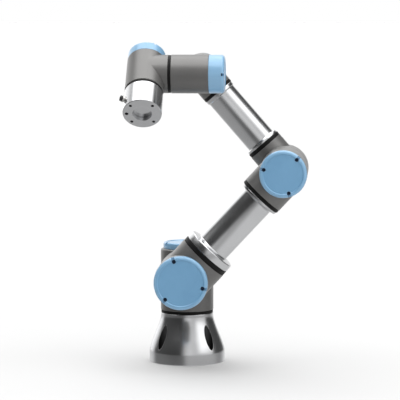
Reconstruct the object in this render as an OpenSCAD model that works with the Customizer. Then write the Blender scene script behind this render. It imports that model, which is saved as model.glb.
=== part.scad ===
// Six-axis collaborative robot arm of the 3 kg class.
// Origin: centre of the base's underside. +Z runs up the base joint's axis.
// The arm's plane is XZ; the lids of the two big joints face -Y.

/* [Base] */
// Diameter of the base flange
base_d = 128; // [124:1:134]
// Thickness of the base flange
base_flange_h = 17.8; // [16:0.2:20]
// Height of the base casting
base_h = 83; // [80:1:86]
// Pitch circle of the four base bolts
base_pcd = 110; // [108:1:112]
// Clearance hole for each M6 base bolt
base_bolt_d = 6.6; // [6.2:0.1:7]
// Pocket over each base bolt
base_pocket_d = 15; // [13:0.5:16]

/* [Joint housings] */
// Outer radius of the base and shoulder joints
r_big = 44.5; // [43:0.5:45]
// Outer radius of the elbow joint
r_mid = 39; // [38:0.5:40]
// Outer radius of the wrist joints
r_small = 31.5; // [31:0.5:32]
// Wall of a joint housing
wall = 3.2; // [2.8:0.2:3.6]
// Width of the seal ring at the big joints
seal_big = 4.7; // [4:0.1:5]
// Width of the seal ring at the wrist joints
seal_small = 4.4; // [4:0.1:5]
// Gap between a seal ring and the housing that turns past it
seal_gap = 0.3; // [0.2:0.05:0.5]

/* [Arm lengths] */
// Height of the shoulder axis over the base's underside
shoulder_z = 151.85; // [150:0.05:153]
// Shoulder axis to elbow axis
upper_len = 243.55; // [235:0.05:260]
// Elbow axis to the first wrist axis
fore_len = 213.2; // [205:0.05:230]
// Offset of the upper arm's tube from the base axis
upper_y = 120; // [118:1:122]
// Offset of the forearm's tube from the base axis
fore_y = 27; // [26:0.5:28]
// Offset of the first wrist housing from the base axis
wrist_y = 131.05; // [130:0.05:133]
// First wrist axis to second wrist axis crossing
wrist_step = 85.35; // [85:0.05:87]
// Second wrist axis to the tool face
tool_step = 92.1; // [90:0.1:94]

/* [Pose] */
// Elevation of the upper arm
upper_angle = 47; // [40:1:55]
// Direction of the forearm from the elbow
fore_angle = 131; // [125:1:140]
// Direction of the second wrist axis
wrist_angle = 180; // [175:1:185]
// Tilt of the tool face from straight down
tool_tilt = 48; // [40:1:55]

/* [Tubes] */
// Outer radius of the upper arm's tube
upper_tube_r = 28; // [26:0.5:30]
// Outer radius of the forearm's tube
fore_tube_r = 25.5; // [24:0.5:27]
// Wall of both tubes
tube_wall = 2.5; // [2:0.1:3]

/* [Lids] */
// Height of the shoulder lid over its seat
shoulder_lid_h = 10.6; // [9:0.2:12]
// Height of the upper arm's lower lid
lower_lid_h = 11; // [9:0.5:12]
// Height of the elbow lid
elbow_lid_h = 10; // [9:0.5:12]
// Length of a wrist lid
wrist_lid_h = 26; // [24:1:27]

/* [Tool flange] */
// Pitch circle of the tool bolts
tool_pcd = 50; // [49:1:51]
// Tapping drill of the M6 tool threads
tool_hole_d = 5; // [4.8:0.1:5.4]
// Diameter of the centring recess
pilot_d = 31.5; // [31:0.5:32]
// Depth of the centring recess
pilot_h = 8; // [6:0.5:9]
// Diameter of the dowel hole
dowel_d = 6; // [5.8:0.1:6.2]

/* [Hidden] */
$fn = 96;

// End faces of the motor-side housings, measured from each branch axis towards the output
s_base = 63.85;
s_shoulder = 63.85;
s_elbow = 55;
s_wrist_1 = wrist_y - fore_y - (wrist_step - 43.2 - seal_gap - seal_small) - seal_gap - seal_small;
s_wrist = 43.2;
// Lid seats, measured from each branch axis away from the output
l_base = 40.6;
l_shoulder = 37.5;
l_elbow = 33;
l_wrist_1 = 27;
l_wrist_2 = 18.4;
l_wrist_3 = 27.4;
// Radii of the branches that carry the tubes
b_upper_low = r_big - 1.1;
b_upper_high = r_mid - 1.6;
b_fore_low = 31;
b_fore_high = 28;
// Distance of each tube ring from its housing's axis, and its width
ring_a = [51.8, 8.4];
ring_b = [50, 6.2];
ring_c = [50, 6.4];
ring_d = [38, 5.6];

elbow = [upper_len * cos(upper_angle), 0, shoulder_z + upper_len * sin(upper_angle)];
wrist = elbow + fore_len * [cos(fore_angle), 0, sin(fore_angle)];
wrist_b = wrist + wrist_step * [cos(wrist_angle), 0, sin(wrist_angle)];

// Frames: local z points at the joint's output side, local x along the branch
module at_base_joint() { translate([0, 0, shoulder_z]) rotate([0, 0, -90]) rotate([180, 0, 0]) children(); }
module at_shoulder_joint() { translate([0, -upper_y, shoulder_z]) rotate([0, -upper_angle, 0]) rotate([-90, 0, 0]) children(); }
module at_elbow_joint() { translate(elbow + [0, -upper_y, 0]) rotate([0, -upper_angle - 180, 0]) rotate([-90, 0, 0]) children(); }
module at_elbow_far() { translate(elbow + [0, -fore_y, 0]) rotate([0, -fore_angle, 0]) rotate([-90, 0, 0]) children(); }
module at_wrist_1_joint() { translate(wrist + [0, -fore_y, 0]) rotate([0, -fore_angle - 180, 0]) rotate([90, 0, 0]) children(); }
module at_wrist_2_joint() { translate(wrist + [0, -wrist_y, 0]) rotate([0, -wrist_angle, 0]) rotate([0, 90, 0]) rotate([0, 0, 90]) children(); }
module at_wrist_3_joint() { translate(wrist_b + [0, -wrist_y, 0]) rotate([0, 180 - wrist_angle, 0]) rotate([180 - tool_tilt, 0, 0]) children(); }

// ---- shared shapes ----
module ring(ro, ri, z0, z1, c = 0.4) {
  rotate_extrude() polygon([[ri, z0], [ro - c, z0], [ro, z0 + c], [ro, z1 - c], [ro - c, z1], [ri, z1]]);
}
module branch_rod(r, x0, x1) { translate([x0, 0, 0]) rotate([0, 90, 0]) cylinder(r = r, h = x1 - x0); }
// Places children at the three lid screws; the first is opposite the branch
module at_screws(r) { for (a = [180, 60, -60]) rotate([0, 0, a]) translate([0.83 * r, 0, 0]) rotate([0, 0, 0]) children(); }

// Outer form of a joint housing: a round body from the lid seat to the output face
module body_form(r, s, l, nose = 0.8, top_r = 0) {
  n = 6;
  rt = top_r > 0 ? top_r : r - nose;
  e = r - rt;
  rotate_extrude() polygon(concat(
    [[0, -l]],
    [for (i = [0 : n]) [rt + e * sin(90 * i / n), -l + e - e * cos(90 * i / n)]],
    [[r, s - 0.8], [r - 0.8, s], [0, s]]));
}
// Room inside a joint housing: motor bay, ledge, gear bay
module body_room(r, s, l, top_r = 0) {
  ri = r - wall;
  rt = top_r > 0 ? top_r - wall + 0.6 : ri;
  z2 = s - 0.42 * r;
  z3 = s - 0.32 * r;
  translate([0, 0, -l - 30]) cylinder(r = rt, h = 30 + 8);
  translate([0, 0, -l + (top_r > 0 ? 6 : 0)]) cylinder(r = ri, h = z2 + l - (top_r > 0 ? 6 : 0));
  translate([0, 0, z2 - 1]) cylinder(r = 0.7 * r, h = z3 - z2 + 2);
  translate([0, 0, z3]) cylinder(r = ri, h = s - z3 + 1);
}
module screw_lugs(r, l, lug, rin) {
  intersection() {
    at_screws(r) translate([0, 0, -l]) cylinder(r = lug, h = 9);
    translate([0, 0, -l - 1]) cylinder(r = rin + 0.6, h = 12);
  }
}
module screw_taps(r, l, tap) { at_screws(r) translate([0, 0, -l - 1]) cylinder(r = tap, h = 8.5); }

// Housing whose branch meets the joint before it: closed end wall with a cable hole
module wrist_like_housing(r, s, l, br, bl, lug, tap, lid_r, top_r = 0) {
  difference() {
    union() {
      difference() {
        union() { body_form(r, s, l, 0.8, top_r); branch_rod(br, 0, bl); }
        body_room(r, s, l, top_r);
        branch_rod(0.62 * r, 0, bl - 5);
      }
      screw_lugs(lid_r, l, lug, top_r > 0 ? top_r - wall + 0.6 : r - wall);
    }
    branch_rod(0.3 * r, 0, bl + 1);
    screw_taps(lid_r, l, tap);
  }
}
// Housing whose branch holds a tube: open mouth for the tube's spigot
module tube_housing(r, s, l, br, bl, mouth, lug, tap, lid_r) {
  difference() {
    union() {
      difference() {
        union() { body_form(r, s, l); branch_rod(br, 0, bl); }
        body_room(r, s, l);
        branch_rod(0.6 * r, 0, bl - 9);
      }
      screw_lugs(lid_r, l, lug, r - wall);
    }
    branch_rod(mouth, bl - 9, bl + 1);
    screw_taps(lid_r, l, tap);
  }
}
// Cap-shaped lid with a raised rounded rim, a shallow dished face and three screw notches
module lid_cap(r, h, l, rr, br, head, hole) {
  n = 7;
  difference() {
    union() {
      difference() {
        rotate_extrude() polygon(concat(
          [[0, -l], [r - 0.5, -l], [r, -l - 0.5]],
          [for (i = [0 : n]) [r - rr + rr * cos(90 * i / n), -l - h + rr - rr * sin(90 * i / n)]],
          [[r - rr - 1.4, -l - h], [r - rr - 2.6, -l - h + 0.9], [0, -l - h + 0.9]]));
        translate([0, 0, -l - h + 3.6]) cylinder(r = r - 2.8, h = h);
        rotate_extrude() polygon([[r - 2.8 - 0.01, -l - h + 3.6 + 0.01], [0, -l - h + 3.6 + 0.01], [0, -l - h + 3.4], [r - rr - 1, -l - h + 3.4]]);
      }
      intersection() {
        at_screws(r) translate([0, 0, -l - h + 1]) cylinder(r = head + 1.8, h = h - 1);
        translate([0, 0, -l - h]) cylinder(r = r - 1.2, h = h);
      }
    }
    at_screws(r) {
      translate([0, 0, -l - h - 1]) cylinder(r = head, h = 1 + min(7, h - 3.6));
      translate([0, -head * 0.8, -l - h - 1]) cube([r, head * 1.6, 1 + min(5.4, h - 4.4)]);
      translate([0, 0, -l - h]) cylinder(r = hole, h = h + 1);
    }
    branch_rod(br + 0.15, 0, r + 10);
  }
}
// Three socket-head screws of a lid
module lid_screw_set(r, h, l, head, shank) {
  zs = -l - h + min(7, h - 3.6);
  at_screws(r) difference() {
    union() {
      translate([0, 0, zs - 3.2]) rotate_extrude() polygon([[0, 0], [head - 0.75, 0], [head - 0.45, 0.3], [head - 0.45, 3.2], [0, 3.2]]);
      translate([0, 0, zs - 0.5]) cylinder(r = shank - 0.04, h = -l - zs + 6.5);
    }
    translate([0, 0, zs - 4]) cylinder(r = (head - 0.45) * 0.55, h = 2.4, $fn = 6);
  }
}
// Motor stator: laminated ring with its coil crown on both faces
module stator(r, s) {
  z1 = s - 0.42 * r;
  h = 0.5 * r;
  rotate_extrude() polygon([[0.6 * r, z1 - h], [0.8 * r, z1 - h], [0.8 * r, z1 - h + 0.1 * r], [r - wall - 0.05, z1 - h + 0.1 * r],
    [r - wall - 0.05, z1], [0.72 * r, z1], [0.72 * r, z1 - 0.04 * r], [0.6 * r, z1 - 0.04 * r]]);
}
// Hollow rotor shaft with the magnet ring and the gear's wave generator
module rotor(r, s, seal) {
  z1 = s - 0.42 * r;
  h = 0.5 * r;
  zg = s - 0.3 * r;
  rotate_extrude() polygon([[0.2 * r, z1 - h - 0.3 * r], [0.27 * r, z1 - h - 0.3 * r], [0.27 * r, z1 - h + 0.05 * r], [0.6 * r - 0.4, z1 - h + 0.05 * r],
    [0.6 * r - 0.4, z1 - 0.06 * r], [0.3 * r, z1 - 0.06 * r], [0.3 * r, zg], [0.52 * r, zg], [0.52 * r, zg + 0.16 * r], [0.27 * r, zg + 0.16 * r],
    [0.27 * r, s - 0.02 * r], [0.2 * r, s - 0.02 * r]]);
}
// Fixed ring gear of the strain-wave gear, with its output bearing's outer race
module gear_ring(r, s) {
  z3 = s - 0.32 * r;
  rotate_extrude() polygon([[0.6 * r, z3], [r - wall - 0.05, z3], [r - wall - 0.05, s - 0.04 * r], [0.7 * r, s - 0.04 * r], [0.7 * r, s - 0.1 * r], [0.6 * r, s - 0.1 * r]]);
}
// Flexible cup of the strain-wave gear; its flange bolts to the next housing
module flexspline(r, s, seal) {
  zf = s + seal_gap + seal;
  z3 = s - 0.32 * r;
  rotate_extrude() polygon([[0.55 * r, z3 + 0.3], [0.6 * r - 0.15, z3 + 0.3], [0.6 * r - 0.15, zf - 3], [0.68 * r, zf - 3], [0.68 * r, zf],
    [0.24 * r, zf], [0.24 * r, zf - 2.6], [0.55 * r, zf - 2.6]]);
}
module seal(r, s, w) { z0 = s + seal_gap; ring(r - 0.7, r - 6, z0, z0 + w, 0.5); }

// ---- base ----
module base_housing() color([0.78, 0.79, 0.8]) difference() {
  union() {
    base_shell();
    intersection() {
      at_plate_screws() translate([0, 0, 4.5]) cylinder(r = 4.6, h = 10);
      translate([0, 0, 4.5]) cylinder(r = 33.4, h = 10);
    }
  }
  at_plate_screws() translate([0, 0, 3]) cylinder(r = 1.5, h = 10);
}
module at_plate_screws() { for (a = [30 : 120 : 270]) rotate([0, 0, a]) translate([29.2, 0, 0]) children(); }
module base_shell() difference() {
  union() {
    rotate_extrude() polygon([[0, 0], [base_d / 2 - 0.8, 0], [base_d / 2, 0.8], [base_d / 2, base_flange_h - 0.6], [base_d / 2 - 0.5, base_flange_h], [62.6, 22.5], [61.2, 29], [57.8, 38], [53.9, 47.5], [50.2, 57],
      [47.2, 65.5], [45, 72.5], [44.2, 76], [44.2, base_h - 0.8], [43.4, base_h], [0, base_h]]);
    translate([0, 40, 27]) rotate([-90, 0, 0]) cylinder(r = 12.5, h = 26);
  }
  translate([0, 0, -1]) cylinder(r = 35, h = 5.5);
  translate([0, 0, 3]) cylinder(r = 33, h = base_h - 9);
  cylinder(r = 13.4, h = base_h + 1);
  for (a = [45 : 90 : 315]) rotate([0, 0, a]) translate([base_pcd / 2, 0, 0]) {
    translate([0, 0, -1]) cylinder(d = base_bolt_d, h = 30);
    translate([0, 0, 13]) cylinder(d = base_pocket_d, h = 60);
  }
  translate([0, 30, 27]) rotate([-90, 0, 0]) cylinder(r = 8, h = 40);
}
module base_bottom_plate() color([0.62, 0.63, 0.64]) difference() {
  translate([0, 0, 1.5]) cylinder(r = 34.9, h = 3);
  at_plate_screws() cylinder(r = 1.7, h = 6);
}
module base_plate_screws() color([0.3, 0.3, 0.32]) at_plate_screws() difference() {
  union() { translate([0, 0, 0.2]) cylinder(r = 2.8, h = 1.3); translate([0, 0, 1.3]) cylinder(r = 1.45, h = 10.5); }
  cylinder(r = 1.25, h = 1, $fn = 6);
}
module base_cable_gland() color([0.09, 0.09, 0.1]) translate([0, 0, 27]) rotate([-90, 0, 0]) difference() {
  union() {
    translate([0, 0, 50]) cylinder(r = 7.92, h = 16.5);
    translate([0, 0, 66]) cylinder(r = 11.5, h = 5, $fn = 6);
    translate([0, 0, 71]) rotate_extrude() polygon([[0, -0.5], [9.4, -0.5], [9.4, 6], [7.4, 9], [0, 9]]);
  }
  translate([0, 0, 49]) cylinder(r = 4.2, h = 33);
}
module base_seal_ring() color([0.05, 0.05, 0.05]) at_base_joint() seal(r_big, s_base, seal_big);
module base_joint_flexspline() color([0.6, 0.6, 0.62]) at_base_joint() flexspline(r_big, s_base, seal_big);

// ---- shoulder ----
module shoulder_housing() color([0.6, 0.6, 0.59]) at_base_joint()
  wrist_like_housing(r_big, s_base, l_base, r_big - 0.4, upper_y - s_shoulder - seal_gap - seal_big, 5.2, 1.5, 40, 40.4);
module shoulder_lid() color([0.5, 0.7, 0.87]) at_base_joint() lid_cap(40, shoulder_lid_h, l_base, 3.6, r_big - 0.4, 3.4, 1.8);
module shoulder_lid_screws() color([0.12, 0.16, 0.24]) at_base_joint() lid_screw_set(40, shoulder_lid_h, l_base, 3.4, 1.5);
module base_joint_gear_ring() color([0.55, 0.55, 0.57]) at_base_joint() gear_ring(r_big, s_base);
module base_joint_stator() color([0.72, 0.42, 0.2]) at_base_joint() stator(r_big, s_base);
module base_joint_rotor() color([0.7, 0.7, 0.72]) at_base_joint() rotor(r_big, s_base, seal_big);
module shoulder_seal_ring() color([0.05, 0.05, 0.05]) at_shoulder_joint() seal(r_big, s_shoulder, seal_big);
module shoulder_joint_flexspline() color([0.6, 0.6, 0.62]) at_shoulder_joint() flexspline(r_big, s_shoulder, seal_big);

// ---- upper arm ----
module upper_arm_lower_housing() color([0.6, 0.6, 0.59]) at_shoulder_joint() tube_housing(r_big, s_shoulder, l_shoulder, b_upper_low, ring_a[0], 34, 4.8, 1.5, r_big - 0.3);
module upper_arm_lower_lid() color([0.5, 0.7, 0.87]) at_shoulder_joint() lid_cap(r_big - 0.3, lower_lid_h, l_shoulder, 4.6, b_upper_low, 3.4, 1.8);
module upper_arm_elbow_housing() color([0.6, 0.6, 0.59]) at_elbow_joint() tube_housing(r_mid, s_elbow, l_elbow, b_upper_high, ring_b[0], 28, 4.6, 1.5, r_mid - 0.3);
module upper_arm_elbow_lid() color([0.5, 0.7, 0.87]) at_elbow_joint() lid_cap(r_mid - 0.3, elbow_lid_h, l_elbow, 4.2, b_upper_high, 3.2, 1.8);
module upper_arm_lid_screws() color([0.12, 0.16, 0.24]) {
  at_shoulder_joint() lid_screw_set(r_big - 0.3, lower_lid_h, l_shoulder, 3.4, 1.5);
  at_elbow_joint() lid_screw_set(r_mid - 0.3, elbow_lid_h, l_elbow, 3.2, 1.5);
}
module upper_arm_tube() color([0.8, 0.81, 0.82]) at_shoulder_joint() rotate([0, 90, 0]) {
  a = ring_a[0] + ring_a[1];
  b = upper_len - ring_b[0] - ring_b[1];
  t = upper_tube_r;
  rotate_extrude() polygon([[t - tube_wall, a - 16], [33.8, a - 16], [33.8, a], [42.6, a], [43, a + 0.6], [42.2, a + 10], [40.6, a + 12], [33, a + 13], [t + 1.4, a + 14.6], [t, a + 17],
    [t, b - 7.5], [t + 1.4, b - 5.4], [t + 5.8, b - 4.6], [35.4, b - 3.6], [36.4, b - 0.6], [36, b], [27.8, b], [27.8, b + 14], [t - tube_wall, b + 14]]);
}
module upper_arm_lower_ring() color([0.05, 0.05, 0.05]) at_shoulder_joint() rotate([0, 90, 0]) ring(b_upper_low - 0.5, 34, ring_a[0], ring_a[0] + ring_a[1], 0.9);
module upper_arm_upper_ring() color([0.05, 0.05, 0.05]) at_elbow_joint() rotate([0, 90, 0]) ring(b_upper_high - 0.4, 28, ring_b[0], ring_b[0] + ring_b[1], 0.8);
module shoulder_joint_gear_ring() color([0.55, 0.55, 0.57]) at_shoulder_joint() gear_ring(r_big, s_shoulder);
module shoulder_joint_stator() color([0.72, 0.42, 0.2]) at_shoulder_joint() stator(r_big, s_shoulder);
module shoulder_joint_rotor() color([0.7, 0.7, 0.72]) at_shoulder_joint() rotor(r_big, s_shoulder, seal_big);
module elbow_joint_gear_ring() color([0.55, 0.55, 0.57]) at_elbow_joint() gear_ring(r_mid, s_elbow);
module elbow_joint_stator() color([0.72, 0.42, 0.2]) at_elbow_joint() stator(r_mid, s_elbow);
module elbow_joint_rotor() color([0.7, 0.7, 0.72]) at_elbow_joint() rotor(r_mid, s_elbow, seal_big);

// ---- forearm ----
module forearm_elbow_housing() color([0.6, 0.6, 0.59]) at_elbow_far() {
  z0 = -(upper_y - s_elbow - seal_gap - seal_big - fore_y);
  z1 = 37;
  e = 12;
  difference() {
    union() {
      rotate_extrude() polygon(concat([[0, z0], [r_mid - 0.8, z0], [r_mid, z0 + 0.8]],
        [for (i = [0 : 9]) [r_mid - e + e * cos(10 * i), z1 - e + e * sin(10 * i)]], [[0, z1]]));
      branch_rod(b_fore_low, 0, ring_c[0]);
    }
    rotate_extrude() polygon(concat([[0, z0 + 5], [r_mid - wall, z0 + 5]],
      [for (i = [0 : 3 : 9]) [r_mid - e + (e - wall) * cos(10 * i), z1 - e + (e - wall) * sin(10 * i)]], [[0, z1 - wall]]));
    branch_rod(0.55 * r_mid, 0, ring_c[0] - 5);
    branch_rod(23, ring_c[0] - 9, ring_c[0] + 1);
    translate([0, 0, z0 - 1]) cylinder(r = 0.3 * r_mid, h = 8);
  }
}
module forearm_tube() color([0.8, 0.81, 0.82]) at_elbow_far() rotate([0, 90, 0]) {
  a = ring_c[0] + ring_c[1];
  b = fore_len - ring_d[0] - ring_d[1];
  t = fore_tube_r;
  rotate_extrude() polygon([[t - tube_wall - 3, a - 14], [22.8, a - 14], [22.8, a], [29.6, a], [30, a + 0.6], [29.4, a + 3.2], [t + 1.2, a + 4.4], [t, a + 6.4],
    [t, b - 8.4], [t + 0.9, b - 6.6], [27, b - 5.4], [27.4, b - 0.6], [27, b], [20.8, b], [20.8, b + 13], [18.3, b + 13], [18.3, b - 6], [t - tube_wall, b - 12], [t - tube_wall, a + 6], [t - tube_wall - 3, a + 2]]);
}
module forearm_elbow_ring() color([0.05, 0.05, 0.05]) at_elbow_far() rotate([0, 90, 0]) ring(b_fore_low - 0.3, 23, ring_c[0], ring_c[0] + ring_c[1], 0.8);
module forearm_wrist_ring() color([0.05, 0.05, 0.05]) at_wrist_1_joint() rotate([0, 90, 0]) ring(b_fore_high - 0.2, 21, ring_d[0], ring_d[0] + ring_d[1], 0.7);
module forearm_wrist_housing() color([0.6, 0.6, 0.59]) at_wrist_1_joint() tube_housing(r_small, s_wrist_1, l_wrist_1, b_fore_high, ring_d[0], 21, 4, 1.2, r_small - 0.2);
module forearm_lid() color([0.5, 0.7, 0.87]) at_wrist_1_joint() lid_cap(r_small - 0.2, wrist_lid_h - 8, l_wrist_1, 5.6, b_fore_high, 2.7, 1.4);
module forearm_lid_screws() color([0.12, 0.16, 0.24]) at_wrist_1_joint() lid_screw_set(r_small - 0.2, wrist_lid_h - 8, l_wrist_1, 2.7, 1.2);
module elbow_seal_ring() color([0.05, 0.05, 0.05]) at_elbow_joint() seal(r_mid, s_elbow, seal_big);
module elbow_joint_flexspline() color([0.6, 0.6, 0.62]) at_elbow_joint() flexspline(r_mid, s_elbow, seal_big);
module wrist_1_joint_gear_ring() color([0.55, 0.55, 0.57]) at_wrist_1_joint() gear_ring(r_small, s_wrist_1);
module wrist_1_joint_stator() color([0.72, 0.42, 0.2]) at_wrist_1_joint() stator(r_small, s_wrist_1);
module wrist_1_joint_rotor() color([0.7, 0.7, 0.72]) at_wrist_1_joint() rotor(r_small, s_wrist_1, seal_small);

// ---- wrist 1 ----
bl_wrist = wrist_step - s_wrist - seal_gap - seal_small;
module wrist_1_housing() color([0.6, 0.6, 0.59]) at_wrist_2_joint() wrist_like_housing(r_small, s_wrist, l_wrist_2, r_small - 0.3, bl_wrist, 4, 1.2, r_small - 0.1);
module wrist_1_lid() color([0.5, 0.7, 0.87]) at_wrist_2_joint() lid_cap(r_small - 0.1, wrist_lid_h, l_wrist_2, 6, r_small - 0.3, 2.7, 1.4);
module wrist_1_lid_screws() color([0.12, 0.16, 0.24]) at_wrist_2_joint() lid_screw_set(r_small - 0.1, wrist_lid_h, l_wrist_2, 2.7, 1.2);
module wrist_1_seal_ring() color([0.05, 0.05, 0.05]) at_wrist_1_joint() seal(r_small, s_wrist_1, seal_small);
module wrist_1_joint_flexspline() color([0.6, 0.6, 0.62]) at_wrist_1_joint() flexspline(r_small, s_wrist_1, seal_small);
module wrist_2_joint_gear_ring() color([0.55, 0.55, 0.57]) at_wrist_2_joint() gear_ring(r_small, s_wrist);
module wrist_2_joint_stator() color([0.72, 0.42, 0.2]) at_wrist_2_joint() stator(r_small, s_wrist);
module wrist_2_joint_rotor() color([0.7, 0.7, 0.72]) at_wrist_2_joint() rotor(r_small, s_wrist, seal_small);

// ---- wrist 2 ----
module wrist_2_housing() color([0.6, 0.6, 0.59]) at_wrist_3_joint() wrist_like_housing(r_small, s_wrist, l_wrist_3, r_small - 0.3, bl_wrist, 4, 1.2, r_small - 0.4);
module wrist_2_lid() color([0.5, 0.7, 0.87]) at_wrist_3_joint() lid_cap(r_small - 0.4, wrist_lid_h - 7, l_wrist_3, 6.5, r_small - 0.3, 2.7, 1.4);
module wrist_2_lid_screws() color([0.12, 0.16, 0.24]) at_wrist_3_joint() lid_screw_set(r_small - 0.4, wrist_lid_h - 7, l_wrist_3, 2.7, 1.2);
module wrist_2_seal_ring() color([0.05, 0.05, 0.05]) at_wrist_2_joint() seal(r_small, s_wrist, seal_small);
module wrist_2_joint_flexspline() color([0.6, 0.6, 0.62]) at_wrist_2_joint() flexspline(r_small, s_wrist, seal_small);
module wrist_3_joint_gear_ring() color([0.55, 0.55, 0.57]) at_wrist_3_joint() gear_ring(r_small, s_wrist);
module wrist_3_joint_stator() color([0.72, 0.42, 0.2]) at_wrist_3_joint() stator(r_small, s_wrist);
module wrist_3_joint_rotor() color([0.7, 0.7, 0.72]) at_wrist_3_joint() rotor(r_small, s_wrist, seal_small);

// ---- tool flange ----
tool_z0 = s_wrist + seal_gap + seal_small;
conn_z = tool_step - 11.5;
module tool_flange() color([0.82, 0.82, 0.83]) at_wrist_3_joint() difference() {
  rotate_extrude() polygon([[0, tool_z0], [r_small - 0.7, tool_z0], [r_small, tool_z0 + 0.7], [r_small, tool_step - 0.8], [r_small - 0.8, tool_step],
    [pilot_d / 2, tool_step], [pilot_d / 2, tool_step - pilot_h], [0, tool_step - pilot_h]]);
  translate([0, 0, tool_z0 - 1]) cylinder(r = 0.24 * r_small, h = 6);
  rotate_extrude() polygon([[0, tool_z0 + 4.5], [25, tool_z0 + 4.5], [25, tool_z0 + 14], [17, tool_z0 + 22], [0, tool_z0 + 22]]);
  for (a = [45 : 90 : 315]) rotate([0, 0, a]) translate([tool_pcd / 2, 0, tool_step - 12]) cylinder(d = tool_hole_d, h = 13);
  rotate([0, 0, 180]) translate([tool_pcd / 2, 0, tool_step - 10]) cylinder(d = dowel_d, h = 11);
  rotate([0, 0, 157]) translate([22, 0, conn_z - 9]) rotate([0, 90, 0]) cylinder(r = 4.05, h = 12);
}
module tool_connector() color([0.75, 0.75, 0.77]) at_wrist_3_joint() rotate([0, 0, 157]) translate([0, 0, conn_z - 9]) rotate([0, 90, 0]) difference() {
  union() {
    translate([0, 0, 23]) cylinder(r = 4, h = 12);
    rotate_extrude() polygon([[0, 32.2], [5, 32.2], [5.4, 32.6], [5.4, 35.2], [4.6, 35.6], [4.6, 38.6], [4.2, 39], [0, 39]]);
  }
  translate([0, 0, 33.5]) cylinder(r = 3.4, h = 6);
}
module wrist_3_seal_ring() color([0.05, 0.05, 0.05]) at_wrist_3_joint() seal(r_small, s_wrist, seal_small);
module wrist_3_joint_flexspline() color([0.6, 0.6, 0.62]) at_wrist_3_joint() flexspline(r_small, s_wrist, seal_small);

base_housing();
base_bottom_plate();
base_plate_screws();
base_cable_gland();
base_seal_ring();
base_joint_flexspline();
shoulder_housing();
shoulder_lid();
shoulder_lid_screws();
base_joint_gear_ring();
base_joint_stator();
base_joint_rotor();
shoulder_seal_ring();
shoulder_joint_flexspline();
upper_arm_lower_housing();
upper_arm_tube();
upper_arm_lower_ring();
upper_arm_upper_ring();
upper_arm_elbow_housing();
upper_arm_lower_lid();
upper_arm_elbow_lid();
upper_arm_lid_screws();
shoulder_joint_gear_ring();
shoulder_joint_stator();
shoulder_joint_rotor();
elbow_joint_gear_ring();
elbow_joint_stator();
elbow_joint_rotor();
forearm_elbow_housing();
forearm_tube();
forearm_elbow_ring();
forearm_wrist_ring();
forearm_wrist_housing();
forearm_lid();
forearm_lid_screws();
elbow_seal_ring();
elbow_joint_flexspline();
wrist_1_joint_gear_ring();
wrist_1_joint_stator();
wrist_1_joint_rotor();
wrist_1_housing();
wrist_1_lid();
wrist_1_lid_screws();
wrist_1_seal_ring();
wrist_1_joint_flexspline();
wrist_2_joint_gear_ring();
wrist_2_joint_stator();
wrist_2_joint_rotor();
wrist_2_housing();
wrist_2_lid();
wrist_2_lid_screws();
wrist_2_seal_ring();
wrist_2_joint_flexspline();
wrist_3_joint_gear_ring();
wrist_3_joint_stator();
wrist_3_joint_rotor();
tool_flange();
tool_connector();
wrist_3_seal_ring();
wrist_3_joint_flexspline();
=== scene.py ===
import math
import bmesh
import bpy
from mathutils import Matrix, Vector


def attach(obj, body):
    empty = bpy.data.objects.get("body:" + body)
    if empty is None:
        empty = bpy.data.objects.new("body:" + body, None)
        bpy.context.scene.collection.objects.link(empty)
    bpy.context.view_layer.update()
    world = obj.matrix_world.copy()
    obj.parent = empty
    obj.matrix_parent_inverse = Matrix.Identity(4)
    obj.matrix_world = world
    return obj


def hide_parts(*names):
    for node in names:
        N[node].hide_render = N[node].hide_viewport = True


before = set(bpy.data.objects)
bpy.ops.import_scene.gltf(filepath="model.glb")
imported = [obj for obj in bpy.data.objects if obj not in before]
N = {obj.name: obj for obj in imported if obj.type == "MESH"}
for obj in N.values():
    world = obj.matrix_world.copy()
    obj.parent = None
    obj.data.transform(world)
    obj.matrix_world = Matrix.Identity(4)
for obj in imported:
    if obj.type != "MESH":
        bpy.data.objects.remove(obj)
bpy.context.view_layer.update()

MM = 0.001

# ------------------------------------------------------------------ kinematics, as in the CAD model
UA, FA, WA, TT = (math.radians(a) for a in (47.0, 131.0, 180.0, 48.0))
S = Vector((0, 0, 151.85)) * MM
U = Vector((math.cos(UA), 0, math.sin(UA)))
F = Vector((math.cos(FA), 0, math.sin(FA)))
E = S + U * 243.55 * MM
W = E + F * 213.2 * MM
DW = Vector((math.cos(WA), 0, math.sin(WA)))
W2 = W + DW * 85.35 * MM
T = Vector((0, -math.sin(TT), -math.cos(TT)))
Y = Vector((0, 1, 0))
Z = Vector((0, 0, 1))


def frame_of(origin, z, x):
    """4x4 frame with the given origin, local z and local x."""
    z = z.normalized()
    x = (x - z * x.dot(z)).normalized()
    y = z.cross(x)
    m = Matrix((x, y, z)).transposed().to_4x4()
    m.translation = origin
    return m


# local z is the joint's output side, local x runs along the branch
FR = {
    "base": frame_of(S, -Z, -Y),
    "shoulder": frame_of(S - Y * 0.120, Y, U),
    "elbow": frame_of(E - Y * 0.120, Y, -U),
    "elbow_far": frame_of(E - Y * 0.027, Y, F),
    "wrist_1": frame_of(W - Y * 0.027, -Y, -F),
    "wrist_2": frame_of(W - Y * 0.13105, DW, Y),
    "wrist_3": frame_of(W2 - Y * 0.13105, T, -DW),
    "ground": Matrix.Identity(4),
}


def tube_frame(name):
    """The same place with local z along the branch."""
    m = FR[name]
    return frame_of(m.translation, m.col[0].to_3d(), m.col[2].to_3d())


FR["upper_tube"] = tube_frame("shoulder")
FR["fore_tube"] = tube_frame("elbow_far")

# ------------------------------------------------------------------ material helpers


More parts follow.
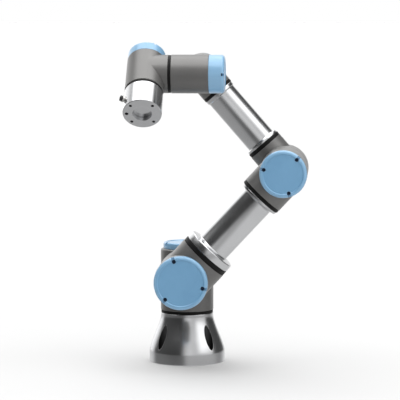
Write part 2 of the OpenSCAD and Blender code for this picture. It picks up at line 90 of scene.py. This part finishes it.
class Mat:
    """Small wrapper that builds a Principled material from nodes."""

    def __init__(self, name):
        self.m = bpy.data.materials.new(name)
        self.m.use_nodes = True
        self.t = self.m.node_tree
        self.t.nodes.clear()
        self.out = self.add("ShaderNodeOutputMaterial")
        self.p = self.add("ShaderNodeBsdfPrincipled")
        self.link(self.p.outputs[0], self.out.inputs[0])

    def add(self, kind, **props):
        n = self.t.nodes.new(kind)
        for k, v in props.items():
            setattr(n, k, v)
        return n

    def link(self, a, b):
        self.t.links.new(a, b)

    def coords(self):
        return self.add("ShaderNodeTexCoord").outputs["Object"]

    def local(self, fr):
        """Object coordinates turned into the local frame fr (in metres)."""
        inv = fr.inverted()
        mp = self.add("ShaderNodeMapping", vector_type="POINT")
        mp.inputs["Location"].default_value = inv.translation
        mp.inputs["Rotation"].default_value = inv.to_euler("XYZ")
        self.link(self.coords(), mp.inputs["Vector"])
        return mp.outputs["Vector"]

    def scaled(self, vec, sx, sy, sz):
        mp = self.add("ShaderNodeMapping", vector_type="POINT")
        mp.inputs["Scale"].default_value = (sx, sy, sz)
        self.link(vec, mp.inputs["Vector"])
        return mp.outputs["Vector"]

    def noise(self, vec, scale, detail=3.0, rough=0.5, distortion=0.0):
        n = self.add("ShaderNodeTexNoise")
        n.inputs["Scale"].default_value = scale
        n.inputs["Detail"].default_value = detail
        n.inputs["Roughness"].default_value = rough
        n.inputs["Distortion"].default_value = distortion
        self.link(vec, n.inputs["Vector"])
        return n.outputs["Fac"]

    def math(self, op, a, b=None, clamp=False):
        n = self.add("ShaderNodeMath", operation=op, use_clamp=clamp)
        for i, v in enumerate((a, b)):
            if v is None:
                continue
            if isinstance(v, (int, float)):
                n.inputs[i].default_value = v
            else:
                self.link(v, n.inputs[i])
        return n.outputs[0]

    def span(self, v, a, b, c, d):
        n = self.add("ShaderNodeMapRange")
        for i, x in enumerate((a, b, c, d)):
            n.inputs[i + 1].default_value = x
        self.link(v, n.inputs[0])
        return n.outputs[0]

    def mix(self, fac, a, b):
        n = self.add("ShaderNodeMix", data_type="RGBA")
        if isinstance(fac, (int, float)):
            n.inputs[0].default_value = fac
        else:
            self.link(fac, n.inputs[0])
        for i, v in ((6, a), (7, b)):
            if isinstance(v, tuple):
                n.inputs[i].default_value = (*v, 1.0)
            else:
                self.link(v, n.inputs[i])
        return n.outputs[2]

    def bump(self, height, strength, distance, normal=None):
        n = self.add("ShaderNodeBump")
        n.inputs["Strength"].default_value = strength
        n.inputs["Distance"].default_value = distance
        self.link(height, n.inputs["Height"])
        if normal is not None:
            self.link(normal, n.inputs["Normal"])
        return n.outputs[0]

    def set(self, **kw):
        for k, v in kw.items():
            s = self.p.inputs[k.replace("_", " ")]
            if isinstance(v, tuple):
                s.default_value = (*v, 1.0)
            elif isinstance(v, (int, float)):
                s.default_value = v
            else:
                self.link(v, s)
        return self


def xyz(m, vec):
    n = m.add("ShaderNodeSeparateXYZ")
    m.link(vec, n.inputs[0])
    return n.outputs


def wear_and_painted_light_masks(m, inner=0.0012, outer=0.004, samples=6):
    """Masks from the piece's own shape: convex edges, lightened as rubbed finish and in part as a painted highlight,
    and corners and creases, darkened as painted shade.
    """
    e = m.add("ShaderNodeAmbientOcclusion", samples=samples, inside=True, only_local=True)
    e.inputs["Distance"].default_value = inner
    g = m.add("ShaderNodeAmbientOcclusion", samples=samples, inside=False, only_local=True)
    g.inputs["Distance"].default_value = outer
    # the edge mask paints a highlight along convex edges as well as wear; the corner mask paints shade into creases
    edge_wear_and_highlight = m.span(e.outputs["AO"], 0.35, 0.85, 1.0, 0.0)
    painted_crease_shade = m.span(g.outputs["AO"], 0.35, 0.9, 1.0, 0.0)
    return edge_wear_and_highlight, painted_crease_shade


def painted_grey(name="housing_grey_paint"):
    """Satin powder coat: soft mottling, orange peel, rubbed edges lightened in part as a painted highlight, and
    painted shade darkening the corners.
    """
    m = Mat(name)
    c = m.coords()
    broad = m.noise(c, 11, 3, 0.55)
    fine = m.noise(c, 380, 3, 0.6)
    peel = m.noise(c, 1100, 2, 0.5)
    edge_wear_and_highlight, painted_crease_shade = wear_and_painted_light_masks(m)
    tone = m.mix(m.span(broad, 0.3, 0.7, 0, 1), (0.150, 0.148, 0.145), (0.168, 0.166, 0.162))
    tone = m.mix(m.math("MULTIPLY", m.span(fine, 0.35, 0.65, 0, 1), 0.18), tone, (0.200, 0.197, 0.193))
    # painted shade: corners and creases darkened
    tone = m.mix(m.math("MULTIPLY", painted_crease_shade, 0.35), tone, (0.045, 0.043, 0.041))
    # edges lightened as wear and in part as a painted highlight
    tone = m.mix(m.math("MULTIPLY", m.math("MULTIPLY", edge_wear_and_highlight, m.span(fine, 0.3, 0.7, 0.3, 1)), 0.55), tone, (0.30, 0.295, 0.288))
    rough = m.math("ADD", m.span(fine, 0.2, 0.8, 0.36, 0.44), m.math("MULTIPLY", edge_wear_and_highlight, -0.08))
    m.set(Base_Color=tone, Metallic=0.55, Roughness=rough, Normal=m.bump(peel, 0.05, 0.0002))
    m.p.inputs["Coat Weight"].default_value = 0.10
    m.p.inputs["Coat Roughness"].default_value = 0.3
    return m.m


def lid_blue(name, fr, radius=0.03):
    """Moulded lid: semi-gloss light blue plastic, faint flow marks, a painted highlight lightening the rim, painted
    shade in the corners and rubbed edges lightened in part as a painted highlight.
    """
    m = Mat(name)
    v = m.local(fr)
    flow = m.noise(m.scaled(v, 1, 1, 0.25), 26, 3, 0.55, 0.5)
    fine = m.noise(v, 800, 3, 0.55)
    edge_wear_and_highlight, painted_crease_shade = wear_and_painted_light_masks(m, 0.0015, 0.003, 16)
    x, y, z = xyz(m, v)
    r = m.math("SQRT", m.math("ADD", m.math("MULTIPLY", x, x), m.math("MULTIPLY", y, y)))
    # painted highlight: a lighter band round the lid's rim
    rim_painted_highlight = m.span(r, radius - 0.0062, radius - 0.0030, 0, 1)
    tone = m.mix(m.span(flow, 0.3, 0.7, 0, 1), (0.150, 0.335, 0.535), (0.168, 0.365, 0.570))
    tone = m.mix(m.math("MULTIPLY", rim_painted_highlight, m.span(flow, 0.2, 0.8, 0.30, 0.50)), tone, (0.33, 0.54, 0.74))
    # painted shade: corners and creases darkened
    tone = m.mix(m.math("MULTIPLY", painted_crease_shade, 0.35), tone, (0.06, 0.16, 0.29))
    # edges lightened as wear and in part as a painted highlight
    tone = m.mix(m.math("MULTIPLY", edge_wear_and_highlight, 0.35), tone, (0.42, 0.60, 0.78))
    m.set(Base_Color=tone, Metallic=0.06, Roughness=m.span(fine, 0.25, 0.75, 0.27, 0.31), Normal=m.bump(fine, 0.008, 0.0001))
    m.p.inputs["Coat Weight"].default_value = 0.35
    m.p.inputs["Coat Roughness"].default_value = 0.12
    return m.m


def turned_aluminium(name, fr, along=0.0, tone0=(0.60, 0.605, 0.615), tone1=(0.66, 0.665, 0.675), r0=0.19, r1=0.24, pockets=None):
    """Satin-anodised aluminium: very fine turning rings round the axis, faint clouding, rubbed edges lightened in part
    as a painted highlight, and painted shade in the corners.
    """
    m = Mat(name)
    v = m.local(fr)
    lines = m.noise(m.scaled(v, 0.002, 0.002, 1), 2200, 2, 0.5)
    cloud = m.noise(v, 16, 3, 0.5)
    speck = m.noise(v, 1500, 2, 0.6)
    edge_wear_and_highlight, painted_crease_shade = wear_and_painted_light_masks(m, 0.0012, 0.004)
    tone = m.mix(m.span(cloud, 0.3, 0.7, 0, 1), tone0, tone1)
    tone = m.mix(m.math("MULTIPLY", m.span(lines, 0.35, 0.65, 0, 1), 0.10), tone, (0.76, 0.765, 0.775))
    # painted shade: corners and creases darkened
    tone = m.mix(m.math("MULTIPLY", painted_crease_shade, 0.5), tone, (0.16, 0.16, 0.165))
    # edges lightened as wear and in part as a painted highlight
    tone = m.mix(m.math("MULTIPLY", edge_wear_and_highlight, 0.6), tone, (0.90, 0.90, 0.905))
    ro = m.math("ADD", m.span(lines, 0.2, 0.8, r0, r1), m.math("MULTIPLY", m.span(cloud, 0.3, 0.7, 0, 1), 0.03))
    metal = 1.0
    if pockets:
        # the bolt pockets are milled after turning; painted shade darkens their insides: near-black colour, rougher
        # and not metallic
        x, y, z = xyz(m, v)
        dx = m.math("SUBTRACT", m.math("ABSOLUTE", x), pockets[0])
        dy = m.math("SUBTRACT", m.math("ABSOLUTE", y), pockets[0])
        d = m.math("SQRT", m.math("ADD", m.math("MULTIPLY", dx, dx), m.math("MULTIPLY", dy, dy)))
        inside = m.span(d, pockets[1] - 0.0003, pockets[1], 1, 0)
        low = m.span(z, 0.001, 0.0015, 0, 1)
        inside = m.math("MULTIPLY", inside, low)
        # painted shade inside the pockets
        tone = m.mix(inside, tone, (0.004, 0.004, 0.0045))
        ro = m.math("ADD", ro, m.math("MULTIPLY", inside, 0.6))
        metal = m.span(inside, 0, 1, 1, 0)
    n2 = m.bump(speck, 0.004, 0.0001)
    m.set(Base_Color=tone, Metallic=metal, Roughness=ro, Normal=n2)
    return m.m


def rubber(name="seal_rubber_black"):
    m = Mat(name)
    c = m.coords()
    dust = m.noise(c, 60, 4, 0.6)
    grain = m.noise(c, 1400, 3, 0.6)
    edge_wear_and_highlight, painted_crease_shade = wear_and_painted_light_masks(m, 0.001, 0.003)
    tone = m.mix(m.span(dust, 0.4, 0.75, 0, 1), (0.0035, 0.0035, 0.0035), (0.008, 0.008, 0.008))
    # edges lightened as wear and in part as a painted highlight
    tone = m.mix(m.math("MULTIPLY", edge_wear_and_highlight, 0.4), tone, (0.03, 0.03, 0.03))
    m.set(Base_Color=tone, Roughness=m.span(grain, 0.2, 0.8, 0.45, 0.6), Normal=m.bump(grain, 0.12, 0.0002))
    m.p.inputs["Specular IOR Level"].default_value = 0.18
    return m.m


def dark_screw(name="screw_dark_steel"):
    m = Mat(name)
    c = m.coords()
    g = m.noise(c, 900, 3, 0.6)
    tone = m.mix(m.span(g, 0.3, 0.7, 0, 1), (0.010, 0.020, 0.045), (0.03, 0.05, 0.09))
    m.set(Base_Color=tone, Metallic=0.7, Roughness=m.span(g, 0.2, 0.8, 0.28, 0.45), Normal=m.bump(g, 0.08, 0.0001))
    return m.m


def machined_steel(name, fr, a=(0.42, 0.42, 0.43), b=(0.60, 0.60, 0.61)):
    m = Mat(name)
    v = m.local(fr)
    rings = m.noise(m.scaled(v, 0.02, 0.02, 1), 1300, 3, 0.6)
    cloud = m.noise(v, 40, 3, 0.5)
    tone = m.mix(m.span(cloud, 0.3, 0.7, 0, 1), a, b)
    m.set(Base_Color=tone, Metallic=1.0, Roughness=m.span(rings, 0.3, 0.7, 0.22, 0.38), Normal=m.bump(rings, 0.08, 0.0001))
    return m.m


def winding(name, fr):
    m = Mat(name)
    v = m.local(fr)
    x, y, z = xyz(m, v)
    ang = m.math("ARCTAN2", y, x)
    teeth = m.math("SINE", m.math("MULTIPLY", ang, 24.0))
    wires = m.noise(m.scaled(v, 1, 1, 0.1), 1500, 3, 0.5)
    fac = m.span(teeth, -0.2, 0.2, 0, 1)
    tone = m.mix(fac, (0.10, 0.10, 0.11), (0.60, 0.26, 0.09))
    m.set(Base_Color=tone, Metallic=0.8, Roughness=m.span(wires, 0.3, 0.7, 0.3, 0.5), Normal=m.bump(m.math("ADD", teeth, wires), 0.3, 0.0004))
    return m.m


def black_plastic(name="gland_black_plastic"):
    m = Mat(name)
    c = m.coords()
    g = m.noise(c, 1200, 3, 0.6)
    b = m.noise(c, 50, 2, 0.5)
    edge_wear_and_highlight, painted_crease_shade = wear_and_painted_light_masks(m, 0.0008, 0.002)
    tone = m.mix(m.span(b, 0.3, 0.7, 0, 1), (0.018, 0.018, 0.019), (0.030, 0.030, 0.031))
    # edges lightened as wear and in part as a painted highlight
    tone = m.mix(m.math("MULTIPLY", edge_wear_and_highlight, 0.4), tone, (0.08, 0.08, 0.082))
    m.set(Base_Color=tone, Roughness=m.span(g, 0.2, 0.8, 0.42, 0.6), Normal=m.bump(g, 0.2, 0.0002))
    return m.m


def nickel(name, fr):
    """Nickel-plated shell whose end holds a black insulating insert."""
    m = Mat(name)
    v = m.local(fr)
    g = m.noise(v, 800, 3, 0.6)
    x, y, z = xyz(m, v)
    r = m.math("SQRT", m.math("ADD", m.math("MULTIPLY", x, x), m.math("MULTIPLY", y, y)))
    cap = m.span(r, 0.0353, 0.0355, 0, 1)
    tone = m.mix(m.span(g, 0.3, 0.7, 0, 1), (0.55, 0.54, 0.52), (0.66, 0.65, 0.63))
    tone = m.mix(cap, tone, (0.012, 0.012, 0.013))
    ro = m.math("ADD", m.span(g, 0.3, 0.7, 0.16, 0.26), m.math("MULTIPLY", cap, 0.25))
    m.set(Base_Color=tone, Metallic=m.span(cap, 0, 1, 1, 0), Roughness=ro, Normal=m.bump(g, 0.04, 0.0001))
    return m.m


MATS = {}


def mat(key, make, *a):
    if key not in MATS:
        MATS[key] = make(*a)
    return MATS[key]


def joint_of(node):
    for j in ("base", "shoulder", "elbow", "wrist_1", "wrist_2", "wrist_3"):
        if node.startswith(j + "_joint"):
            return FR[j]
    return FR["ground"]


LID_FRAME = {
    "shoulder_lid": ("base", 40.0), "upper_arm_lower_lid": ("shoulder", 44.2), "upper_arm_elbow_lid": ("elbow", 38.7),
    "forearm_lid": ("wrist_1", 31.3), "wrist_1_lid": ("wrist_2", 31.4), "wrist_2_lid": ("wrist_3", 31.1),
}


def material_for(node):
    if node == "base_housing":
        return mat("base_al", turned_aluminium, "base_turned_aluminium", FR["ground"], 0.0, (0.56, 0.565, 0.575), (0.62, 0.625, 0.635), 0.20, 0.24, (0.0389, 0.0078))
    if node == "upper_arm_tube":
        return mat("upper_al", turned_aluminium, "upper_tube_aluminium", FR["upper_tube"])
    if node == "forearm_tube":
        return mat("fore_al", turned_aluminium, "forearm_tube_aluminium", FR["fore_tube"])
    if node == "tool_flange":
        return mat("tool_al", turned_aluminium, "tool_flange_aluminium", FR["wrist_3"])
    if node == "base_bottom_plate":
        return mat("plate", machined_steel, "bottom_plate_milled", FR["ground"], (0.5, 0.5, 0.51), (0.62, 0.62, 0.63))
    if node in LID_FRAME:
        return mat(node, lid_blue, node + "_blue", FR[LID_FRAME[node][0]], LID_FRAME[node][1] * MM)
    if node.endswith("screws"):
        return mat("screw", dark_screw)
    if node.endswith("_stator"):
        return mat(node, winding, node + "_winding", joint_of(node))
    if node.endswith(("_rotor", "gear_ring", "flexspline")):
        return mat(node, machined_steel, node + "_steel", joint_of(node))
    if node.endswith("_ring"):
        return mat("rubber", rubber)
    if node == "base_cable_gland":
        return mat("gland", black_plastic)
    if node == "tool_connector":
        return mat("nickel", nickel, "connector_nickel_plate", FR["wrist_3"])
    return mat("grey", painted_grey)


for name, ob in N.items():
    ob.data.materials.clear()
    ob.data.materials.append(material_for(name))

# ------------------------------------------------------------------ smooth shading of the CAD nodes


def smooth_group(angle):
    """Geometry nodes that join the imported faces' corners and shade them smooth, with edges over the angle kept sharp."""
    g = bpy.data.node_groups.new("smooth_by_angle", "GeometryNodeTree")
    g.interface.new_socket("Geometry", in_out="INPUT", socket_type="NodeSocketGeometry")
    g.interface.new_socket("Geometry", in_out="OUTPUT", socket_type="NodeSocketGeometry")
    n = g.nodes
    gi, go = n.new("NodeGroupInput"), n.new("NodeGroupOutput")
    drop = n.new("GeometryNodeRemoveAttribute")
    drop.inputs["Name"].default_value = "custom_normal"
    merge = n.new("GeometryNodeMergeByDistance")
    merge.inputs["Distance"].default_value = 2e-6
    faces = n.new("GeometryNodeSetShadeSmooth")
    faces.domain = "FACE"
    faces.inputs["Shade Smooth"].default_value = True
    edges = n.new("GeometryNodeSetShadeSmooth")
    edges.domain = "EDGE"
    edges.inputs["Shade Smooth"].default_value = False
    ang = n.new("GeometryNodeInputMeshEdgeAngle")
    cmp = n.new("FunctionNodeCompare")
    cmp.data_type = "FLOAT"
    cmp.operation = "GREATER_THAN"
    cmp.inputs[1].default_value = math.radians(angle)
    g.links.new(ang.outputs["Unsigned Angle"], cmp.inputs[0])
    g.links.new(cmp.outputs[0], edges.inputs["Selection"])
    for a, b in ((gi, drop), (drop, merge), (merge, faces), (faces, edges), (edges, go)):
        g.links.new(a.outputs[0], b.inputs[0])
    return g


SMOOTH = smooth_group(24)
for ob in N.values():
    md = ob.modifiers.new("smooth_by_angle", "NODES")
    md.node_group = SMOOTH
    wn = ob.modifiers.new("weighted_normal", "WEIGHTED_NORMAL")
    wn.mode = "FACE_AREA"
    wn.weight = 80
    wn.keep_sharp = True

# ------------------------------------------------------------------ turned pieces, rebuilt with true curves


def rounded(points, steps=7):
    """A closed outline from (r, z, fillet) corners, in mm."""
    out = []
    n = len(points)
    for i, (r, z, f) in enumerate(points):
        p = Vector((r, z))
        if not f:
            out.append(p)
            continue
        a = Vector(points[i - 1][:2]) - p
        b = Vector(points[(i + 1) % n][:2]) - p
        half = a.angle(b) / 2
        d = min(f / math.tan(half), 0.49 * a.length, 0.49 * b.length)
        f = d * math.tan(half)
        a.normalize()
        b.normalize()
        c = p + (a + b).normalized() * (f / math.sin(half))
        s, e = p + a * d - c, p + b * d - c
        turn = s.angle(e)
        for k in range(steps + 1):
            t = k / steps
            v = (s * math.sin((1 - t) * turn) + e * math.sin(t * turn)) / math.sin(turn)
            out.append(c + v)
    return out


def flare(points, per=6):
    """Points on a smooth curve through the given ones."""
    out = []
    for i in range(len(points) - 1):
        p0, p1 = Vector(points[max(i - 1, 0)]), Vector(points[i])
        p2, p3 = Vector(points[i + 1]), Vector(points[min(i + 2, len(points) - 1)])
        for k in range(per):
            t = k / per
            out.append(0.5 * (2 * p1 + (p2 - p0) * t + (2 * p0 - 5 * p1 + 4 * p2 - p3) * t * t + (3 * p1 - p0 - 3 * p2 + p3) * t ** 3))
    out.append(Vector(points[-1]))
    return out


def lathe(name, outline, fr, seg=192):
    """A closed ring of the outline turned round local z."""
    bm = bmesh.new()
    rings = []
    for k in range(seg):
        a = 2 * math.pi * k / seg
        c, s = math.cos(a), math.sin(a)
        rings.append([bm.verts.new(fr @ (Vector((p.x * c, p.x * s, p.y)) * MM)) for p in outline])
    for k in range(seg):
        a, b = rings[k], rings[(k + 1) % seg]
        for i in range(len(outline)):
            j = (i + 1) % len(outline)
            bm.faces.new((a[i], a[j], b[j], b[i]))
    bmesh.ops.recalc_face_normals(bm, faces=bm.faces)
    me = bpy.data.meshes.new(name)
    bm.to_mesh(me)
    bm.free()
    ob = bpy.data.objects.new(name, me)
    bpy.context.scene.collection.objects.link(ob)
    return ob


def rod(r, z0, z1, fr, seg=64):
    bm = bmesh.new()
    bmesh.ops.create_cone(bm, cap_ends=True, segments=seg, radius1=r * MM, radius2=r * MM, depth=(z1 - z0) * MM)
    bmesh.ops.transform(bm, matrix=fr @ Matrix.Translation((0, 0, (z0 + z1) / 2 * MM)), verts=bm.verts)
    me = bpy.data.meshes.new("cutter")
    bm.to_mesh(me)
    bm.free()
    ob = bpy.data.objects.new("cutter", me)
    bpy.context.scene.collection.objects.link(ob)
    return ob


def combine(ob, others, operation):
    for o in others:
        md = ob.modifiers.new("bool", "BOOLEAN")
        md.operation = operation
        md.solver = "EXACT"
        md.object = o
    dg = bpy.context.evaluated_depsgraph_get()
    me = bpy.data.meshes.new_from_object(ob.evaluated_get(dg))
    bm = bmesh.new()
    bm.from_mesh(me)
    bmesh.ops.remove_doubles(bm, verts=bm.verts, dist=4e-6)
    bmesh.ops.dissolve_degenerate(bm, edges=bm.edges, dist=4e-6)
    bm.to_mesh(me)
    bm.free()
    ob.modifiers.clear()
    ob.data = me
    for o in others:
        bpy.data.objects.remove(o)


def finish_piece(ob, node, body, angle=30):
    me = ob.data
    me.materials.clear()
    me.materials.append(material_for(node))
    me.polygons.foreach_set("use_smooth", [True] * len(me.polygons))
    me.set_sharp_from_angle(angle=math.radians(angle))
    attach(ob, body)
    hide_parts(node)


def build_base():
    side = flare([(63.9, 18.4), (63.3, 21.5), (61.2, 28.6), (57.8, 38.0), (53.9, 47.6), (50.2, 57.0), (47.2, 65.3), (45.2, 72.2), (44.35, 77.0), (44.2, 80.5)])
    low = rounded([(35, 0, 0), (64, 0, 0.9), (64, 17.6, 0), (63.9, 18.4, 0)])[:-2]
    top = rounded([(44.2, 80.5, 0), (44.2, 83, 0.8), (13.4, 83, 0.5), (13.4, 77, 0), (33, 77, 1.5), (33, 4.5, 0), (35, 4.5, 0)])[1:]
    ob = lathe("base_casting", low + [Vector((64, 16.6))] + side + top, Matrix.Identity(4))
    turn = [Matrix.Rotation(math.radians(a), 4, "Z") for a in (45, 135, 225, 315)]
    back = Matrix.Translation((0, 0, 0.027)) @ Matrix.Rotation(math.radians(-90), 4, "X")
    lugs = [rod(4.6, 4.6, 14.5, Matrix.Rotation(math.radians(a), 4, "Z") @ Matrix.Translation((0.0292, 0, 0)), 32) for a in (30, 150, 270)]
    combine(ob, [rod(12.5, 45, 66, back, 96)] + lugs, "UNION")
    cuts = []
    for t in turn:
        at = t @ Matrix.Translation((0.055, 0, 0))
        cuts += [rod(3.3, -1, 29, at, 48), rod(7.5, 13, 73, at, 96)]
    cuts.append(rod(8, 30, 70, back, 64))
    for a in (30, 150, 270):
        cuts.append(rod(1.5, 3, 13, Matrix.Rotation(math.radians(a), 4, "Z") @ Matrix.Translation((0.0292, 0, 0)), 24))
    combine(ob, cuts, "DIFFERENCE")
    finish_piece(ob, "base_housing", "base")


def build_upper_tube():
    a, b = 60.2, 187.35
    line = rounded([(25.5, a - 16, 0.4), (33.8, a - 16, 0.6), (33.8, a, 0), (43, a, 0.8), (42.3, a + 12.1, 2.2), (28, a + 13.7, 2.6),
                    (28, b - 5.8, 2.4), (35.3, b - 4.3, 1.3), (36.35, b, 0.7), (27.8, b, 0), (27.8, b + 14, 0.5), (25.5, b + 14, 0.3)])
    finish_piece(lathe("upper_arm_turned_tube", line, FR["upper_tube"]), "upper_arm_tube", "upper_arm")


def build_fore_tube():
    a, b = 56.4, 169.6
    line = rounded([(20, a - 14, 0.3), (22.8, a - 14, 0.5), (22.8, a, 0), (30, a, 0.7), (29.5, a + 3.9, 1.1), (25.5, a + 4.7, 1.8),
                    (25.5, b - 7.0, 2.0), (27.1, b - 5.8, 0.9), (27.4, b, 0.6), (20.8, b, 0), (20.8, b + 13, 0.5), (18.3, b + 13, 0.3), (18.3, b - 6, 2),
                    (23, b - 12, 2), (23, a + 6, 2), (20, a + 2, 2)])
    finish_piece(lathe("forearm_turned_tube", line, FR["fore_tube"]), "forearm_tube", "forearm")


build_base()
build_upper_tube()
build_fore_tube()

# ------------------------------------------------------------------ floor, light, camera


def mesh_object(name, verts, faces, material=None):
    me = bpy.data.meshes.new(name)
    me.from_pydata([tuple(v) for v in verts], [], faces)
    me.update()
    ob = bpy.data.objects.new(name, me)
    bpy.context.scene.collection.objects.link(ob)
    if material:
        me.materials.append(material)
    return ob


FLOOR_A, FLOOR_B = (0.60, 0.60, 0.60), (0.61, 0.61, 0.61)


def floor_material():
    m = Mat("studio_floor")
    c = m.coords()
    n = m.noise(c, 3, 2, 0.5)
    m.set(Base_Color=m.mix(n, FLOOR_A, FLOOR_B), Roughness=0.9)
    m.p.inputs["Specular IOR Level"].default_value = 0.05
    return m.m


R = 260.0
ring = [(R * math.cos(2 * math.pi * i / 96), R * math.sin(2 * math.pi * i / 96), 0.0) for i in range(96)]
floor = mesh_object("studio_floor", ring, [list(range(96))], floor_material())
floor.visible_glossy = False


def studio_world():
    """White studio: a big soft panel overhead, a lit backdrop behind, and darker room to the sides of the camera."""
    w = bpy.data.worlds.new("studio_world")
    bpy.context.scene.world = w
    w.use_nodes = True
    t = w.node_tree
    t.nodes.clear()

    def add(kind, **props):
        n = t.nodes.new(kind)
        for k, v in props.items():
            setattr(n, k, v)
        return n

    def calc(op, x, y=None, clamp=False):
        n = add("ShaderNodeMath", operation=op, use_clamp=clamp)
        for i, v in enumerate((x, y)):
            if v is None:
                continue
            if isinstance(v, (int, float)):
                n.inputs[i].default_value = v
            else:
                t.links.new(v, n.inputs[i])
        return n.outputs[0]

    def ramp(v, stops):
        n = add("ShaderNodeValToRGB")
        cr = n.color_ramp
        cr.interpolation = "EASE"
        while len(cr.elements) > 1:
            cr.elements.remove(cr.elements[-1])
        cr.elements[0].position = stops[0][0]
        cr.elements[0].color = (stops[0][1],) * 3 + (1,)
        for p, c in stops[1:]:
            e = cr.elements.new(p)
            e.color = (c,) * 3 + (1,)
        t.links.new(v, n.inputs[0])
        return n.outputs[0]

    tc = add("ShaderNodeTexCoord")
    sep = add("ShaderNodeSeparateXYZ")
    t.links.new(tc.outputs["Generated"], sep.inputs[0])
    x, y, z = sep.outputs
    # azimuth as 0..1 with 0.5 at the front (-Y); below 0.5 is the left, above is the right
    az = calc("ADD", calc("DIVIDE", calc("ARCTAN2", x, calc("MULTIPLY", y, -1.0)), 2 * math.pi), 0.5)
    side = ramp(az, SIDE)
    near = ramp(az, NEAR)
    deep = ramp(az, DEEP)
    over = ramp(z, OVER)
    top = ramp(z, TOP)
    right = calc("MULTIPLY", ramp(az, RIGHT), ramp(z, [(0.0, 0.0), (0.22, 0.0), (0.42, 1.0), (0.66, 1.0), (0.8, 0.0)]))
    down = calc("MULTIPLY", z, -1.0)
    upper = calc("ADD", calc("MULTIPLY", side, over), calc("MULTIPLY", top, TOP_LEVEL))
    upper = calc("ADD", upper, calc("MULTIPLY", right, RIGHT_LEVEL))
    k1 = ramp(down, [(0.0, 0.0), (0.28, 0.0), (0.48, 1.0)])
    k2 = ramp(down, [(0.0, 0.0), (0.76, 0.0), (0.90, 1.0)])
    lower = calc("ADD", near, calc("MULTIPLY", k1, calc("SUBTRACT", deep, near)))
    lower = calc("ADD", lower, calc("MULTIPLY", k2, calc("SUBTRACT", BOTTOM, lower)))
    below = ramp(calc("ADD", calc("MULTIPLY", down, 8.0), 0.5), [(0.0, 0.0), (0.5, 0.0), (1.0, 1.0)])
    total = calc("ADD", upper, calc("MULTIPLY", below, calc("SUBTRACT", lower, upper)))
    bg = add("ShaderNodeBackground")
    bg.inputs["Color"].default_value = (1, 1, 1, 1)
    t.links.new(total, bg.inputs["Strength"])
    seen = add("ShaderNodeBackground")
    seen.inputs["Color"].default_value = (1, 1, 1, 1)
    seen.inputs["Strength"].default_value = 1.0
    lp = add("ShaderNodeLightPath")
    mixer = add("ShaderNodeMixShader")
    t.links.new(lp.outputs["Is Camera Ray"], mixer.inputs[0])
    t.links.new(bg.outputs[0], mixer.inputs[1])
    t.links.new(seen.outputs[0], mixer.inputs[2])
    out = add("ShaderNodeOutputWorld")
    t.links.new(mixer.outputs[0], out.inputs[0])


def azi(deg):
    return 0.5 + deg / 360.0


RIGHT = [(azi(-180), 0.0), (azi(34), 0.0), (azi(54), 1.0), (azi(84), 1.0), (azi(100), 0.0), (azi(180), 0.0)]
RIGHT_LEVEL = 0.9
SIDE = [(azi(-180), 1.1), (azi(-160), 1.6), (azi(-134), 1.35), (azi(-110), 0.08), (azi(-16), 0.05), (azi(0), 0.78), (azi(10), 0.92),
        (azi(30), 0.72), (azi(60), 0.92), (azi(82), 0.92), (azi(98), 0.06), (azi(146), 0.07), (azi(166), 0.95), (azi(180), 0.95)]
NEAR = [(azi(-180), 0.9), (azi(-130), 0.8), (azi(-105), 0.22), (azi(-12), 0.16), (azi(6), 0.50), (azi(90), 0.52), (azi(120), 0.35), (azi(160), 0.9)]
DEEP = [(azi(-180), 0.7), (azi(-120), 0.45), (azi(-15), 0.42), (azi(15), 0.78), (azi(100), 0.80), (azi(160), 0.7)]
BOTTOM = 0.55
OVER = [(0.0, 1.0), (0.66, 1.0), (0.84, 0.0)]
TOP = [(0.0, 0.0), (0.64, 0.0), (0.84, 1.0), (1.0, 1.0)]
TOP_LEVEL = 2.9
studio_world()


YAW, PITCH = math.radians(-3.43), math.radians(4.96)
cam_data = bpy.data.cameras.new("camera")
cam_data.lens = 208.63
cam_data.sensor_width = 36.0
cam_data.clip_start = 0.1
cam_data.clip_end = 60.0
cam = bpy.data.objects.new("camera", cam_data)
bpy.context.scene.collection.objects.link(cam)
cam.location = (0.2556, -3.9, 0.6128)
look = Vector((math.sin(YAW) * math.cos(PITCH), math.cos(YAW) * math.cos(PITCH), -math.sin(PITCH)))
cam.rotation_euler = look.to_track_quat("-Z", "Y").to_euler()
bpy.context.scene.camera = cam
bpy.context.scene.view_settings.view_transform = "Standard"
